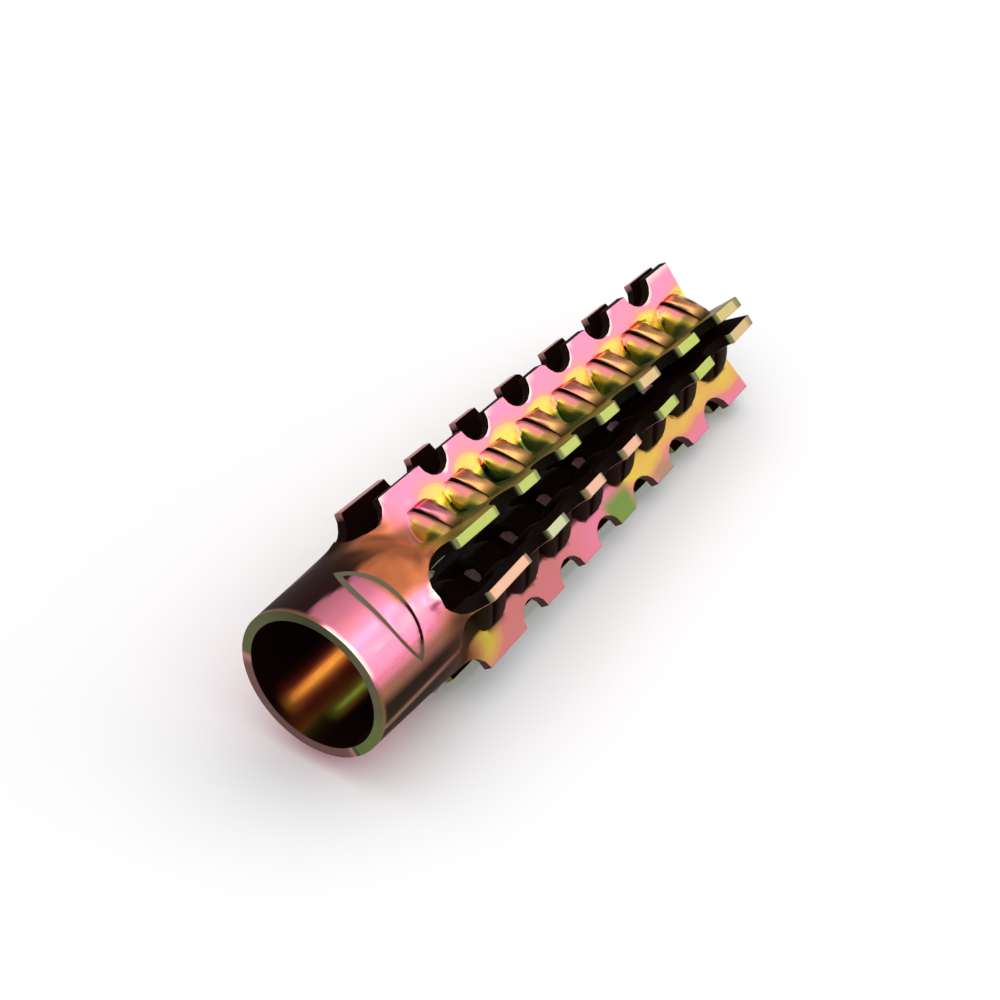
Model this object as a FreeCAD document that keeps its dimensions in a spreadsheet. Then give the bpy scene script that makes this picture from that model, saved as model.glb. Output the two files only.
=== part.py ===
import FreeCAD, Part
import math
import os

import Sketcher

# A claw anchor of folded sheet steel for aerated concrete. It is one piece of sheet. A plain round neck
# takes the screw. Behind it four slots cut the tube into four strips. Each strip is folded into a V whose
# crease lies near the axis, so the toothed edges of neighbouring strips stand out side by side as four
# open fins. Everything narrows towards the tip.
#
# The body is drawn along its own X axis, with the mouth of the neck at X = 0 and the fins on the Y and Z
# axes. It is then rolled by 45 degrees and tipped so that it lies on two of its fins, as it comes to rest.

SIZES = {
    # Neck
    "length": 38.0,
    "neck_length": 7.0,
    "neck_outer_radius": 4.875,
    "sheet_thickness": 0.65,
    # Shoulder, where the round tube turns into folded strips
    "shoulder_length": 2.5,
    # Fins: distance of the toothed edges from the axis, and between the two walls of a fin
    "crest_start": 5.83,
    "crest_tip": 4.48,
    "fin_gap_start": 3.55,
    "fin_gap_tip": 1.30,
    # Creases of the four strips: offset of the fold from both fin planes beside it
    "fold_start": 2.09,
    "fold_tip": 0.22,
    "bend_radius": 0.5,
    # Round end of each slot, at the neck
    "slot_base": 6.9,
    "slot_base_radius": 1.3,
    # Round notches that leave the teeth
    "notch_first": 14.45,
    "notch_to_tip": 3.25,
    "notch_radius": 1.14,
    "notch_count": 6,
    # Bridges left across each crease between two cuts, which the screw's thread bites into
    "bridge_first": 11.2,
    "bridge_to_tip": 0.875,
    "bridge_count": 8,
    "bridge_width": 0.9,
    "bridge_reach": 1.95,
    "bridge_reach_tip": 2.35,
    "bridge_bulge": 0.2,
    "slit_width": 0.25,
}
FIN_COUNT = 4
ROLL_DEGREES = 45.0
NECK_SPLIT_DEGREES = 35.0
BLEND_STEPS = 4
HALF_SHEET = "(sizes.sheet_thickness / 2)"
NOTCH_PITCH = "((sizes.length - sizes.notch_to_tip - sizes.notch_first) / (sizes.notch_count - 1))"
BRIDGE_ROW = "(sizes.length - sizes.bridge_to_tip - sizes.bridge_width - sizes.bridge_first)"
BRIDGE_PITCH = f"({BRIDGE_ROW} / (sizes.bridge_count - 1))"
# Lengths of cuts that have to pass right through: outwards from the axis, and through both walls of a fin
OUTWARD_CUT = "(sizes.crest_start * 2)"
FIN_CUT = "(sizes.fin_gap_start + sizes.sheet_thickness * 3)"


def make_sheet(doc):
    """The spreadsheet that holds every driving size."""
    sheet = doc.addObject("Spreadsheet::Sheet", "sizes")
    for row, (alias, number) in enumerate(SIZES.items(), start=1):
        sheet.set(f"A{row}", alias)
        sheet.set(f"B{row}", str(number))
        sheet.setAlias(f"B{row}", alias)
    doc.recompute()
    return sheet


def origin_object(body, role):
    """One of the planes or axes of the body's own origin."""
    for feature in body.Origin.OriginFeatures:
        if feature.Role == role:
            return feature
    raise ValueError(f"no {role} in {body.Name}")


def new_sketch(body, name, role, station=None):
    """A sketch on one of the body's origin planes, moved along its normal to a station if one is given."""
    sketch = body.newObject("Sketcher::SketchObject", name)
    sketch.AttachmentSupport = [(origin_object(body, role), "")]
    sketch.MapMode = "FlatFace"
    if station is not None:
        sketch.setExpression("AttachmentOffset.Base.z", station)
    return sketch


def bind(sketch, index, expression):
    """Ties a dimension of a sketch to an expression of the sheet."""
    sketch.setExpression(f"Constraints[{index}]", expression)


def place_point(sketch, geometry, position, x, y):
    """Fixes one end or centre of a curve at two bound distances from the sketch origin."""
    value_x = sketch.evalExpression(x)
    value_y = sketch.evalExpression(y)
    index = sketch.addConstraint(Sketcher.Constraint("DistanceX", -1, 1, geometry, position, float(value_x)))
    bind(sketch, index, x)
    index = sketch.addConstraint(Sketcher.Constraint("DistanceY", -1, 1, geometry, position, float(value_y)))
    bind(sketch, index, y)


def add_circle(sketch, x, y, radius):
    """A circle whose centre and radius are bound."""
    centre = FreeCAD.Vector(float(sketch.evalExpression(x)), float(sketch.evalExpression(y)), 0.0)
    number = float(sketch.evalExpression(radius))
    circle = sketch.addGeometry(Part.Circle(centre, FreeCAD.Vector(0, 0, 1), number), False)
    place_point(sketch, circle, 3, x, y)
    bind(sketch, sketch.addConstraint(Sketcher.Constraint("Radius", circle, number)), radius)
    return circle


def blended(neck, fold, share):
    """An expression between its value on the round neck and its value on the folded strip."""
    return f"(({neck}) * {1.0 - share} + ({fold}) * {share})"


def tapered(start, tip, station):
    """An expression of a size that changes evenly from the end of the shoulder to the tip."""
    shoulder_end = "(sizes.neck_length + sizes.shoulder_length)"
    run = f"(({station}) - {shoulder_end}) / (sizes.length - {shoulder_end})"
    return f"(sizes.{start} + (sizes.{tip} - sizes.{start}) * {run})"


def arc_between(start, end, curvature):
    """The short arc between two points that bulges away from the origin, or towards it if negative."""
    radius = abs(1.0 / curvature)
    middle = (start + end) * 0.5
    chord = end - start
    sagitta = radius - math.sqrt(radius ** 2 - (chord.Length / 2.0) ** 2)
    outward = FreeCAD.Vector(-chord.y, chord.x, 0.0).normalize()
    if outward.dot(middle) < 0.0:
        outward = -outward
    bulge = outward * math.copysign(sagitta, curvature)
    return Part.Arc(start, middle + bulge, end)


def nearer_end(sketch, geometry, point):
    """The number of the end of a curve that lies at a point."""
    to_start = sketch.getPoint(geometry, 1).distanceToPoint(point)
    to_end = sketch.getPoint(geometry, 2).distanceToPoint(point)
    return 1 if to_start < to_end else 2


def draw_outline(sketch, corners, curvatures):
    """A closed outline of lines and arcs, every corner and radius of it bound.

    An edge runs from each corner to the next. It is an arc if it has a curvature, and else a line.
    """
    points = [FreeCAD.Vector(float(sketch.evalExpression(x)), float(sketch.evalExpression(y)), 0.0)
              for x, y in corners]
    for edge, start in enumerate(points):
        end = points[(edge + 1) % len(points)]
        bend = curvatures.get(edge)
        if bend is None:
            sketch.addGeometry(Part.LineSegment(start, end), False)
        else:
            curvature = float(sketch.evalExpression(bend))
            sketch.addGeometry(arc_between(start, end, curvature), False)
            index = sketch.addConstraint(Sketcher.Constraint("Radius", edge, abs(1.0 / curvature)))
            bind(sketch, index, f"abs(1 / {bend})")
        place_point(sketch, edge, nearer_end(sketch, edge, start), *corners[edge])
    for edge in range(len(points)):
        following = (edge + 1) % len(points)
        joint = points[following]
        sketch.addConstraint(Sketcher.Constraint(
            "Coincident",
            edge, nearer_end(sketch, edge, joint),
            following, nearer_end(sketch, following, joint),
        ))


def folded_strip(station):
    """Expressions of the folded strip at a station: its fold, and the slope and ends of its walls."""
    crest = tapered("crest_start", "crest_tip", station)
    wall = f"({tapered('fin_gap_start', 'fin_gap_tip', station)} / 2)"
    fold = tapered("fold_start", "fold_tip", station)
    slope = f"(({wall} - {fold}) / ({crest} - {fold}))"
    return crest, wall, fold, slope


def strip_section(body, name, station, share):
    """The cross-section of one strip: a quarter of the tube at share 0, a folded V at share 1.

    It has eight edges in the same order at every share, so that the sections can be lofted.
    """
    sketch = new_sketch(body, name, "YZ_Plane", station)
    outer_radius = "sizes.neck_outer_radius"
    inner_radius = "(sizes.neck_outer_radius - sizes.sheet_thickness)"
    crest, wall, fold, slope = folded_strip(station)
    split = f"{NECK_SPLIT_DEGREES} deg"

    def face_points(neck_radius, sign, bend):
        """Both points of one wall on one face of the sheet: its toothed end and the start of its bend."""
        reach = f"({bend} * (1 + {slope}) / (1 - {slope}) / sqrt(1 + {slope} ^ 2))"
        corner = f"({fold} {sign} {HALF_SHEET})"
        end_point = (
            blended(neck_radius, crest, share),
            blended("0", f"{wall} {sign} {HALF_SHEET}", share),
        )
        bend_point = (
            blended(f"{neck_radius} * cos({split})", f"{corner} + {reach}", share),
            blended(f"{neck_radius} * sin({split})", f"{corner} + {reach} * {slope}", share),
        )
        return end_point, bend_point

    outer_bend = "sizes.bend_radius"
    inner_bend = "(sizes.bend_radius + sizes.sheet_thickness)"
    outer_end, outer_start = face_points(outer_radius, "+", outer_bend)
    inner_end, inner_start = face_points(inner_radius, "-", inner_bend)
    corners = [
        outer_end,
        outer_start,
        outer_start[::-1],
        outer_end[::-1],
        inner_end[::-1],
        inner_start[::-1],
        inner_start,
        inner_end,
    ]
    outer_wall = blended(f"1 / {outer_radius}", "0", share)
    inner_wall = blended(f"1 / {inner_radius}", "0", share)
    curvatures = {
        1: blended(f"1 / {outer_radius}", f"-1 / {outer_bend}", share),
        5: blended(f"1 / {inner_radius}", f"-1 / {inner_bend}", share),
    }
    if share < 1.0:
        curvatures.update({0: outer_wall, 2: outer_wall, 4: inner_wall, 6: inner_wall})
    draw_outline(sketch, corners, curvatures)
    return sketch


def make_neck(body):
    """The plain round neck, from the mouth to the start of the shoulder."""
    sketch = new_sketch(body, "neck_ring", "YZ_Plane")
    add_circle(sketch, "0", "0", "sizes.neck_outer_radius")
    add_circle(sketch, "0", "0", "(sizes.neck_outer_radius - sizes.sheet_thickness)")
    pad = body.newObject("PartDesign::Pad", "neck")
    pad.Profile = sketch
    pad.setExpression("Length", "sizes.neck_length")
    return pad


def make_strip(body):
    """One folded strip: the shoulder that grows out of the neck, and the straight tapering V behind it."""
    shoulder_sections = []
    for step in range(BLEND_STEPS + 1):
        fraction = step / BLEND_STEPS
        share = fraction ** 2 * (3.0 - 2.0 * fraction)
        station = f"sizes.neck_length + sizes.shoulder_length * {fraction}"
        shoulder_sections.append(strip_section(body, f"shoulder_section_{step}", station, share))
    tip_section = strip_section(body, "tip_section", "sizes.length", 1.0)
    shoulder = body.newObject("PartDesign::AdditiveLoft", "shoulder")
    shoulder.Profile = shoulder_sections[0]
    shoulder.Sections = shoulder_sections[1:]
    shoulder.Ruled = True
    body.Document.recompute()
    walls = body.newObject("PartDesign::AdditiveLoft", "folded_walls")
    walls.Profile = shoulder_sections[-1]
    walls.Sections = [tip_section]
    walls.Ruled = True
    body.Document.recompute()
    return [shoulder, walls]


def around(body, name, originals=None):
    """Repeats features once for each fin round the body's X axis, or else the whole body so far."""
    pattern = body.newObject("PartDesign::PolarPattern", name)
    if originals:
        pattern.Originals = originals
    else:
        pattern.TransformMode = "Whole shape"
    pattern.Axis = (origin_object(body, "X_Axis"), [""])
    pattern.Angle = 360.0
    pattern.Occurrences = FIN_COUNT
    body.Tip = pattern
    body.Document.recompute()
    return pattern


def make_slot_base(body):
    """The round end of one slot, cut through the neck from the axis outwards."""
    sketch = new_sketch(body, "slot_base_circle", "XZ_Plane")
    add_circle(sketch, "sizes.slot_base + sizes.slot_base_radius", "0", "sizes.slot_base_radius")
    pocket = body.newObject("PartDesign::Pocket", "slot_base_cut")
    pocket.Profile = sketch
    pocket.Type = "Length"
    pocket.setExpression("Length", OUTWARD_CUT)
    body.Document.recompute()
    return pocket


def make_notches(body):
    """The round notches of one fin, cut through both of its walls on the line of their edges.

    The first one is the slot's round end, which the folding has turned into the side of the fin.
    """
    sketch = new_sketch(body, "notch_circles", "XY_Plane")
    notches = [("(sizes.slot_base + sizes.slot_base_radius)", "sizes.slot_base_radius")]
    for place in range(int(sketch.evalExpression("sizes.notch_count"))):
        notches.append((f"(sizes.notch_first + {place} * {NOTCH_PITCH})", "sizes.notch_radius"))
    for station, radius in notches:
        crest = tapered("crest_start", "crest_tip", station)
        add_circle(sketch, station, crest, radius)
    pocket = body.newObject("PartDesign::Pocket", "notch_cut")
    pocket.Profile = sketch
    pocket.Type = "Length"
    pocket.Midplane = True
    pocket.setExpression("Length", FIN_CUT)
    body.Document.recompute()
    return pocket


def long_bar(body, name, draw):
    """A bar that follows a crease from the first bridge's slit to the last bridge's end."""
    first = "(sizes.bridge_first - sizes.slit_width)"
    last = "(sizes.length - sizes.bridge_to_tip)"
    sections = []
    for place, station in (("first", first), ("last", last)):
        sketch = new_sketch(body, f"{name}_{place}", "YZ_Plane", station)
        draw(sketch, station)
        sections.append(sketch)
    bar = body.newObject("PartDesign::AdditiveLoft", name)
    bar.Profile = sections[0]
    bar.Sections = sections[1:]
    bar.Ruled = True
    body.Document.recompute()
    return bar


def bridge_reach(station):
    """Expression of how far out of the fold the bridges are rooted in the walls at a station."""
    fold = tapered("fold_start", "fold_tip", station)
    return f"({fold} + {tapered('bridge_reach', 'bridge_reach_tip', station)})"


def draw_window(sketch, station):
    """The five-sided section that takes the whole crease out from wall to wall."""
    fold = tapered("fold_start", "fold_tip", station)
    low = f"({fold} - sizes.sheet_thickness)"
    high = f"({fold} + sizes.sheet_thickness)"
    reach = bridge_reach(station)
    draw_outline(sketch, [(low, low), (reach, low), (reach, high), (high, reach), (low, reach)], {})


def draw_bridge(sketch, station):
    """The section of a bridge: a flat arch as thick as the sheet, with both ends in the walls."""
    fold, slope = folded_strip(station)[2:]
    reach = bridge_reach(station)
    rise = f"({reach} - {fold}) * {slope}"
    outer = f"({fold} + {HALF_SHEET} + {rise})"
    inner = f"({fold} - {HALF_SHEET} + {rise})"
    outer_chord = f"(({reach} - {outer}) * sqrt(2))"
    inner_chord = f"(({reach} - {inner}) * sqrt(2))"
    inner_bulge = "(sizes.bridge_bulge + sizes.sheet_thickness * (sqrt(1 / 2) - 1))"
    outer_curve = f"(1 / ({outer_chord} ^ 2 / 8 / sizes.bridge_bulge + sizes.bridge_bulge / 2))"
    inner_curve = f"({inner_bulge} / ({inner_chord} ^ 2 / 8 + {inner_bulge} ^ 2 / 2))"
    draw_outline(
        sketch,
        [(reach, outer), (outer, reach), (inner, reach), (reach, inner)],
        {0: outer_curve, 2: inner_curve},
    )


def cut_gaps(body, start, end):
    """Cuts a long bar into one short block for each bridge, and repeats the row in each valley."""
    sketch = new_sketch(body, f"{body.Name}_gap_outline", "XY_Plane")
    low, high = f"-{OUTWARD_CUT}", OUTWARD_CUT
    draw_outline(sketch, [(start, low), (end, low), (end, high), (start, high)], {})
    gap = body.newObject("PartDesign::Pocket", f"{body.Name}_gap")
    gap.Profile = sketch
    gap.Type = "Length"
    gap.Midplane = True
    gap.setExpression("Length", f"{OUTWARD_CUT} * 2")
    body.Document.recompute()
    row = body.newObject("PartDesign::LinearPattern", f"{body.Name}_gaps")
    row.Originals = [gap]
    row.Direction = (origin_object(body, "X_Axis"), [""])
    row.setExpression("Length", f"{BRIDGE_PITCH} * (sizes.bridge_count - 2)")
    row.setExpression("Occurrences", "sizes.bridge_count - 1")
    body.Tip = row
    body.Document.recompute()


def make_blocks(doc, name, draw, start):
    """A body with one short block for each bridge of one crease, from a start to its tip side."""
    body = doc.addObject("PartDesign::Body", name)
    body.AllowCompound = True
    long_bar(body, f"{name}_bar", draw)
    cut_gaps(body, "(sizes.bridge_first + sizes.bridge_width)", f"({start} + {BRIDGE_PITCH})")
    return body


def combine(body, name, kind, tool):
    """Cuts another body out of this one, or fuses it with this one."""
    step = body.newObject("PartDesign::Boolean", name)
    step.Type = kind
    step.setObjects([tool])
    body.Tip = step
    body.Document.recompute()
    return step


def rest_placement(body):
    """Rolls the body by half the angle between fins, and tips it until the lower fins lie on the floor."""

    def value(expression):
        return float(body.evalExpression(expression))

    start = value("sizes.neck_length + sizes.shoulder_length")
    length = value("sizes.length")
    start_depth = value("(sizes.crest_start + (sizes.fin_gap_start + sizes.sheet_thickness) / 2) / sqrt(2)")
    tip_depth = value("(sizes.crest_tip + (sizes.fin_gap_tip + sizes.sheet_thickness) / 2) / sqrt(2)")
    tilt = math.atan2(start_depth - tip_depth, length - start)
    roll = FreeCAD.Rotation(FreeCAD.Vector(1, 0, 0), ROLL_DEGREES)
    tip_down = FreeCAD.Rotation(FreeCAD.Vector(0, 1, 0), math.degrees(tilt))
    mouth_reach = value("sizes.neck_outer_radius") * math.sin(tilt)
    tip_reach = length * math.cos(tilt) + tip_depth * math.sin(tilt)
    base = FreeCAD.Vector(
        (mouth_reach - tip_reach) / 2.0,
        0.0,
        start * math.sin(tilt) + start_depth * math.cos(tilt),
    )
    return FreeCAD.Placement(base, tip_down.multiply(roll))


def check_document(doc, pieces):
    """Stops when an object has failed or a piece is not one valid solid."""
    for item in doc.Objects:
        if "Invalid" in item.State or "Error" in item.State:
            raise RuntimeError(f"{item.Name} failed: {item.State}")
    for piece in pieces:
        shape = piece.Shape
        if shape.isNull() or not shape.isValid() or len(shape.Solids) != 1:
            raise RuntimeError(f"{piece.Label} is not one valid solid")
        print(piece.Label, "volume", round(shape.Volume, 2), "box", shape.BoundBox)


def cut_or_stop(body, before):
    """Stops when a cut has removed nothing."""
    after = body.Shape.Volume
    if after >= before:
        raise RuntimeError("a cut has removed nothing")
    return after


def main():
    doc = FreeCAD.newDocument("anchor")
    make_sheet(doc)
    body = doc.addObject("PartDesign::Body", "anchor_sleeve")
    body.Label = "anchor_sleeve"
    doc.recompute()

    make_neck(body)
    make_strip(body)
    slit = "(sizes.bridge_first - sizes.slit_width)"
    combine(body, "windows", "Cut", make_blocks(doc, "window_blocks", draw_window, slit))
    combine(body, "bridges", "Fuse", make_blocks(doc, "bridge_blocks", draw_bridge, "sizes.bridge_first"))
    around(body, "four_strips")
    volume = body.Shape.Volume
    around(body, "four_slot_bases", [make_slot_base(body)])
    volume = cut_or_stop(body, volume)
    around(body, "four_notched_fins", [make_notches(body)])
    cut_or_stop(body, volume)

    body.Placement = rest_placement(body)
    doc.recompute()
    check_document(doc, [body])
    os.makedirs("parts", exist_ok=True)
    body.Shape.exportStep("parts/anchor_sleeve.step")


main()
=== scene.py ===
"""A folded claw anchor of iridescent chromated steel, lying on a pale studio floor."""

import logging
import math
from dataclasses import dataclass, field, fields
from enum import Enum

import bmesh
import bpy
from mathutils import Matrix, Vector, noise


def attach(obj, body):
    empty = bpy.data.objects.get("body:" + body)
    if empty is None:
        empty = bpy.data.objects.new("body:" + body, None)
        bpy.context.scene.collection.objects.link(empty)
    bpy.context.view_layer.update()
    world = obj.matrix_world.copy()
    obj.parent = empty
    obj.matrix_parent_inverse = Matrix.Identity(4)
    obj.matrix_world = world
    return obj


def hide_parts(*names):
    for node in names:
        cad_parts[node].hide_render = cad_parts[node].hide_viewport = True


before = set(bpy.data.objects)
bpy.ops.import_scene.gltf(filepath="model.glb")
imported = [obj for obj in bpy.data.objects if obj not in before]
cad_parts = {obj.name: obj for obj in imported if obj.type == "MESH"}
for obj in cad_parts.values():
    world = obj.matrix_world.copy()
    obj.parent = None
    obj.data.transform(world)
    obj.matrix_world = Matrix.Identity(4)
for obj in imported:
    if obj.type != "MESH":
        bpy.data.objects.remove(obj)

Pair = tuple[float, float]
Triple = tuple[float, float, float]
Face = bmesh.types.BMFace
Socket = bpy.types.NodeSocket

LOG = logging.getLogger("claw_anchor")
MM = 0.001
NODE = "anchor_sleeve"

# Degrees from the middle of a valley to the fin beside it.
HALF_QUARTER = 45.0
# A distance in millimetres that stands for "nowhere near".
FAR = 9.0
# Play in millimetres when a station is compared with a cut.
PLAY = 0.01
# Sockets of Blender's colour mix node.
MIX_SHARE, MIX_FIRST, MIX_SECOND, MIX_RESULT = 0, 6, 7, 2


class Fin(Enum):
    """The four fins, by the way each points: its angle from +Y towards +Z in degrees."""

    BACK_TOP = 45.0
    FRONT_TOP = 135.0
    FRONT_FOOT = 225.0
    BACK_FOOT = 315.0


class Valley(Enum):
    """The four creased valleys between the fins, by the way each opens, in degrees."""

    TOP = 90.0
    FRONT = 180.0
    FLOOR = 270.0
    BACK = 0.0

    def fin(self, side: int) -> Fin:
        """The fin that this valley's wall on one side (+1 or -1) belongs to."""
        return Fin((self.value + side * HALF_QUARTER) % 360.0)


def clamped(value: float) -> float:
    """The value, kept between 0 and 1."""
    return min(max(value, 0.0), 1.0)


def smooth(start: float, end: float, value: float) -> float:
    """A soft step from 0 where the value is start to 1 where it is end."""
    travel = clamped((value - start) / (end - start))
    return travel * travel * (3.0 - 2.0 * travel)


def window(rise: Pair, fall: Pair, value: float) -> float:
    """A soft-edged plateau of height 1 between the values of its rise and of its fall."""
    return smooth(*rise, value) * smooth(fall[1], fall[0], value)


def bump(centre: float, width: float, value: float) -> float:
    """A soft hill of height 1 at centre, down to about a third at one width away."""
    return math.exp(-(((value - centre) / width) ** 2))


def mix(start: float, end: float, share: float) -> float:
    """The value that lies a share of the way from start to end."""
    return start + (end - start) * share


def evenly(start: float, pitch: float, count: int) -> list[float]:
    """A row of evenly spaced values."""
    return [start + pitch * step for step in range(count)]


def opaque(colour: tuple[float, ...]) -> tuple[float, ...]:
    """A colour with full alpha."""
    return (*colour, 1.0)


def meshed(name: str, source: bmesh.types.BMesh) -> bpy.types.Mesh:
    """A mesh with what an editable one holds, which is freed."""
    mesh = bpy.data.meshes.new(name)
    source.to_mesh(mesh)
    source.free()
    return mesh


def placed(name: str, data: bpy.types.ID) -> bpy.types.Object:
    """A new object in the scene."""
    thing = bpy.data.objects.new(name, data)
    bpy.context.scene.collection.objects.link(thing)
    return thing


@dataclass(frozen=True)
class SheetSizes:
    """Sizes of the folded sheet in millimetres, the same as in the solid.

    The crown of the bridges and the sizes from lip_top on are for this script alone: lips beside
    the slits, slits drawn shut, bridges cut free towards the tip, and the flare at the slots' ends.
    """

    length: float = 38.0
    neck_length: float = 7.0
    neck_radius: float = 4.55
    thickness: float = 0.65
    shoulder_length: float = 2.5
    crest_start: float = 5.83
    crest_tip: float = 4.48
    gap_start: float = 3.55
    gap_tip: float = 1.30
    fold_start: float = 2.09
    fold_tip: float = 0.22
    bend_radius: float = 0.825
    slot_base: float = 6.9
    slot_base_radius: float = 1.3
    notch_first: float = 14.45
    notch_pitch: float = 4.06
    notch_radius: float = 1.14
    notch_count: int = 6
    bridge_first: float = 11.2
    bridge_pitch: float = 3.575
    bridge_count: int = 8
    bridge_width: float = 0.9
    bridge_reach: float = 1.95
    bridge_reach_tip: float = 2.35
    bridge_bulge: float = 0.2
    bridge_crown: float = 0.08
    slit_width: float = 0.25
    lip_top: float = 0.25
    lip_slope: float = 0.5
    lip_height: float = 0.88
    lip_closing: float = 0.21
    slit_widening: float = 0.12
    free_share: float = 0.62
    bridge_run_out: float = 0.45
    flare: float = 0.32
    flare_station: float = 6.95
    flare_length: float = 0.75

    def tapered(self, start: float, tip: float, station: float) -> float:
        """A size at a station, on the straight taper from the shoulder to the tip."""
        first = self.neck_length + self.shoulder_length
        return mix(start, tip, (station - first) / (self.length - first))

    def folded(self, station: float) -> float:
        """How far the sheet has turned from tube (0) to fold (1) at a station."""
        return smooth(self.neck_length, self.neck_length + self.shoulder_length, station)

    def bites(self) -> list[Pair]:
        """Station and radius of each round bite out of a wall's edge, the slot's end first."""
        notches = evenly(self.notch_first, self.notch_pitch, self.notch_count)
        slot_end = (self.slot_base + self.slot_base_radius, self.slot_base_radius)
        return [slot_end] + [(station, self.notch_radius) for station in notches]

    def flank(self, station: float) -> float:
        """Distance past the centre of the nearest bite, in radii of that bite."""
        centre, radius = min(self.bites(), key=lambda bite: abs(bite[0] - station))
        return (station - centre) / radius

    def bridges(self) -> list[float]:
        """The stations at which the bridges begin, on the side of the neck."""
        return evenly(self.bridge_first, self.bridge_pitch, self.bridge_count)

    def bridge_place(self, station: float) -> float:
        """Distance past the first bridge's beginning, in pitches."""
        return (station - self.bridge_first) / self.bridge_pitch

    def trim(self, station: float) -> float:
        """How deep the wall's edge is bitten away at a station."""
        depth = 0.0
        for centre, radius in self.bites():
            inside = radius ** 2 - (station - centre) ** 2
            depth = max(depth, math.sqrt(inside)) if inside > 0.0 else depth
        return depth

    def reach(self, station: float) -> float:
        """How far up each wall the bridges are rooted at a station."""
        return self.tapered(self.bridge_reach, self.bridge_reach_tip, station)

    def wall_vector(self, station: float) -> Triple:
        """Depth of the crease, and the rise and spread of a wall from there to its edge."""
        crest = self.tapered(self.crest_start, self.crest_tip, station)
        half_gap = self.tapered(self.gap_start, self.gap_tip, station) / 2.0
        crease = self.tapered(self.fold_start, self.fold_tip, station) * math.sqrt(2.0)
        rise = (crest + half_gap) / math.sqrt(2.0) - crease
        spread = (crest - half_gap) / math.sqrt(2.0)
        return crease, rise, spread

    def wall_length(self, station: float) -> float:
        """Width of the sheet from the crease to the whole edge at a station."""
        _, rise, spread = self.wall_vector(station)
        arc = self.neck_radius * math.pi / 4.0
        return mix(arc, math.hypot(rise, spread), self.folded(station))

    def section_point(self, station: float, across: float) -> Pair:
        """A point of the sheet's middle surface in one quarter's own section.

        Args:
            station: Distance from the mouth.
            across: Signed distance from the crease, along the sheet.

        Returns:
            Distance from the axis along the valley's direction, and distance sideways.
        """
        fraction = across / self.wall_length(station)
        angle = fraction * math.pi / 4.0
        crease, rise, spread = self.wall_vector(station)
        length = math.hypot(rise, spread)
        along = abs(fraction) * length
        bend = self.bend_radius * rise / spread
        if along < bend:
            travel = 0.5 + 0.5 * along / bend
            climb = bend * rise / length * (travel ** 2 + (1.0 - travel) ** 2)
        else:
            climb = along * rise / length
        share = self.folded(station)
        return (
            mix(self.neck_radius * math.cos(angle), crease + climb, share),
            mix(self.neck_radius * math.sin(angle), fraction * spread, share),
        )


@dataclass(frozen=True)
class Mark:
    """The lens-shaped mark pressed into the neck, in degrees around it and mm along it."""

    centre: float = 117.0
    half_angle: float = 43.5
    station: float = 4.0
    half_width: float = 0.95
    bluntness: float = 2.6
    line_left: float = 0.24
    line_right: float = 0.16
    groove: float = 0.16
    depth: float = 0.05

    def edge_distance(self, angle: float, station: float) -> float:
        """Signed distance to the mark's outline in millimetres, negative inside it."""
        turn = abs(angle - self.centre) / self.half_angle
        half_width = self.half_width * (1.0 - turn ** self.bluntness)
        return abs(station - self.station) - half_width

    def line(self, angle: float) -> float:
        """Half the width of the mark's outline at an angle."""
        return mix(self.line_left, self.line_right, smooth(85.0, 140.0, angle))

    def darkness(self, angle: float, station: float) -> float:
        """How dark the outline is: most of all along its upper middle."""
        upper = window((117.0, 127.0), (149.0, 155.0), angle) * smooth(3.9, 4.1, station)
        return max(0.25 + 0.2 * smooth(110.0, 150.0, angle), upper)


@dataclass(frozen=True)
class Finish:
    """What the plating looks like at one point of the sheet, painted shade and highlights included.

    Attributes:
        film: Place on the colour scale of the plating's thin film on the outer face, painted
            highlights included.
        shade: How much painted shade darkens the outer face, from 0 to 1.
        rim: Place on the colour scale of the sheared edges.
        rim_shade: How much painted shade darkens the sheared edges.
        inner_film: The film's place on the colour scale on the inner face, painted reflections
            included.
        inner_shade: How much painted shade darkens the inner face.
        mark: Signed distance to the mark's outline in millimetres, negative inside it.
        mark_line: Half the width of that outline in millimetres.
        mark_dark: How dark that outline is.
        stain: How green the outer face is stained.
        scorch: How orange-brown the outer face is scorched.
    """

    film: float
    shade: float
    rim: float
    rim_shade: float
    inner_film: float
    inner_shade: float
    mark: float
    mark_line: float
    mark_dark: float
    stain: float
    scorch: float


@dataclass(frozen=True)
class Spot:
    """One point of the flat sheet.

    Attributes:
        valley: The valley whose strip it is on.
        side: Which of that strip's two walls it is on, +1 or -1.
        station: Distance from the mouth in millimetres.
        across: Distance from the crease along the sheet in millimetres, not signed.
        raised: Whether it is on a bridge.
    """

    valley: Valley
    side: int
    station: float
    across: float
    raised: bool

    @property
    def fin(self) -> Fin:
        """The fin that its wall belongs to."""
        return self.valley.fin(self.side)

    def is_on(self, fin: Fin, valley: Valley) -> bool:
        """Whether it is on the wall that a fin and a valley share."""
        return self.fin is fin and self.valley is valley

    def drift(self, along: float, sideways: float, lane: float = 0.0) -> float:
        """Noise between about -1 and 1, with its own course in each valley and lane."""
        place = (self.station * along, self.across * sideways, self.valley.value + lane)
        return noise.noise(Vector(place))


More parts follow.
